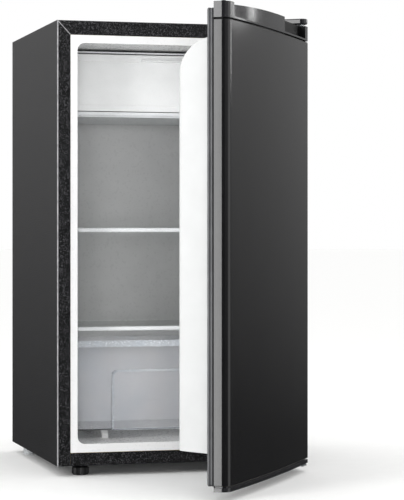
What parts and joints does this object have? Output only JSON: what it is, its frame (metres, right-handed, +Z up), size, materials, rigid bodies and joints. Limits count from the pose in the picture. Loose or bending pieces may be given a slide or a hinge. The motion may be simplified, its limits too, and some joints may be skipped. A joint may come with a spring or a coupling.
{
  "type": "mini fridge",
  "caption": "Compact refrigerator with a bowed door that stands open, a freezer flap, glass shelves, a clear crisper drawer, door racks and a compressor at the rear.",
  "frame": {"origin": "on the floor, under the middle of the whole fridge with its door standing open at rest", "axes": "+X to the hinge side, +Y to the back of the cabinet, +Z up"},
  "size_m": [0.4634, 0.8636, 0.8345],
  "materials": {
    "cabinet_paint": "satin",
    "zinc_steel": "satin",
    "foam": "matte",
    "liner_white": "satin",
    "white_plastic": "satin",
    "grey_plastic": "matte",
    "aluminium": "satin",
    "glass": "polished",
    "clear_plastic": "gloss",
    "black_plastic": "satin",
    "rubber": "matte",
    "gasket": "matte",
    "door_paint": "satin",
    "cap_plastic": "gloss",
    "compressor_enamel": "satin",
    "copper": "satin"
  },
  "bodies": {
    "cabinet": {"base_panel": "zinc_steel", "bottom_front_rail": "cabinet_paint", "capillary_tube": "copper", "compressor_base": "zinc_steel", "compressor_grommet_1": "rubber", "compressor_grommet_2": "rubber", "compressor_grommet_3": "rubber", "compressor_grommet_4": "rubber", "compressor_mount_plate": "zinc_steel", "compressor_shell": "compressor_enamel", "cord_gland": "black_plastic", "discharge_tube": "copper", "drain_hose": "grey_plastic", "evaporation_tray": "black_plastic", "evaporator_box": "aluminium", "filter_drier": "copper", "flap_bracket_left": "white_plastic", "flap_bracket_right": "white_plastic", "hinge_cover": "cap_plastic", "inner_liner": "liner_white", "insulation_foam": "foam", "lower_hinge_bracket": "zinc_steel", "lower_hinge_pin": "zinc_steel", "machine_room_panel": "zinc_steel", "rear_foot_left": "grey_plastic", "rear_foot_right": "grey_plastic", "rear_panel": "cabinet_paint", "relay_cover": "black_plastic", "side_panel_left": "cabinet_paint", "side_panel_right": "cabinet_paint", "suction_tube": "copper", "thermostat_housing": "white_plastic", "top_panel": "cabinet_paint", "upper_hinge_bracket": "zinc_steel", "upper_hinge_pin": "zinc_steel"},
    "door": {"door_outer_panel": "door_paint", "door_foam": "foam", "door_liner": "liner_white", "door_gasket": "gasket", "door_top_cap": "cap_plastic", "door_bottom_cap": "cap_plastic", "free_end_plug": "black_plastic", "upper_hinge_bush": "white_plastic", "lower_hinge_bush": "white_plastic", "upper_rack": "clear_plastic", "middle_rack": "clear_plastic", "bottle_rack": "clear_plastic", "bottle_bar": "white_plastic"},
    "freezer_flap": {"freezer_flap": "white_plastic"},
    "drip_tray": {"drip_tray": "white_plastic"},
    "upper_shelf": {"upper_shelf_trim": "white_plastic", "upper_shelf_glass": "glass"},
    "lower_shelf": {"lower_shelf_trim": "white_plastic", "lower_shelf_glass": "glass"},
    "crisper": {"crisper_drawer": "clear_plastic"},
    "thermostat_knob": {"thermostat_knob": "grey_plastic"},
    "front_foot_left": {"front_foot_left": "black_plastic"},
    "front_foot_right": {"front_foot_right": "black_plastic"}
  },
  "joints": [
    {"name": "door_hinge", "type": "hinge", "parent": "cabinet", "child": "door", "pos_m": [0.22029, -0.05916, 0.4], "axis": [0, 0, 1], "range_deg": [-55.4, 75]},
    {"name": "freezer_flap_hinge", "type": "hinge", "parent": "cabinet", "child": "freezer_flap", "pos_m": [-0.00171, 0.09654, 0.671], "axis": [1, 0, 0], "range_deg": [0, 85]},
    {"name": "drip_tray_slide", "type": "slide", "parent": "cabinet", "child": "drip_tray", "axis": [0, -1, 0], "range_m": [0, 0.11]},
    {"name": "upper_shelf_slide", "type": "slide", "parent": "cabinet", "child": "upper_shelf", "axis": [0, -1, 0], "range_m": [0, 0.07]},
    {"name": "lower_shelf_slide", "type": "slide", "parent": "cabinet", "child": "lower_shelf", "axis": [0, -1, 0], "range_m": [0, 0.07]},
    {"name": "crisper_slide", "type": "slide", "parent": "cabinet", "child": "crisper", "axis": [0, -1, 0], "range_m": [0, 0.08]},
    {"name": "thermostat_turn", "type": "hinge", "parent": "cabinet", "child": "thermostat_knob", "pos_m": [0.16329, 0.16934, 0.6], "axis": [-1, 0, 0], "range_deg": [-120, 120]},
    {"name": "front_foot_left_turn", "type": "hinge", "parent": "cabinet", "child": "front_foot_left", "pos_m": [-0.18271, 0.00434, 0.01], "axis": [0, 0, 1], "continuous": true},
    {"name": "front_foot_right_turn", "type": "hinge", "parent": "cabinet", "child": "front_foot_right", "pos_m": [0.17929, 0.00434, 0.01], "axis": [0, 0, 1], "continuous": true}
  ]
}
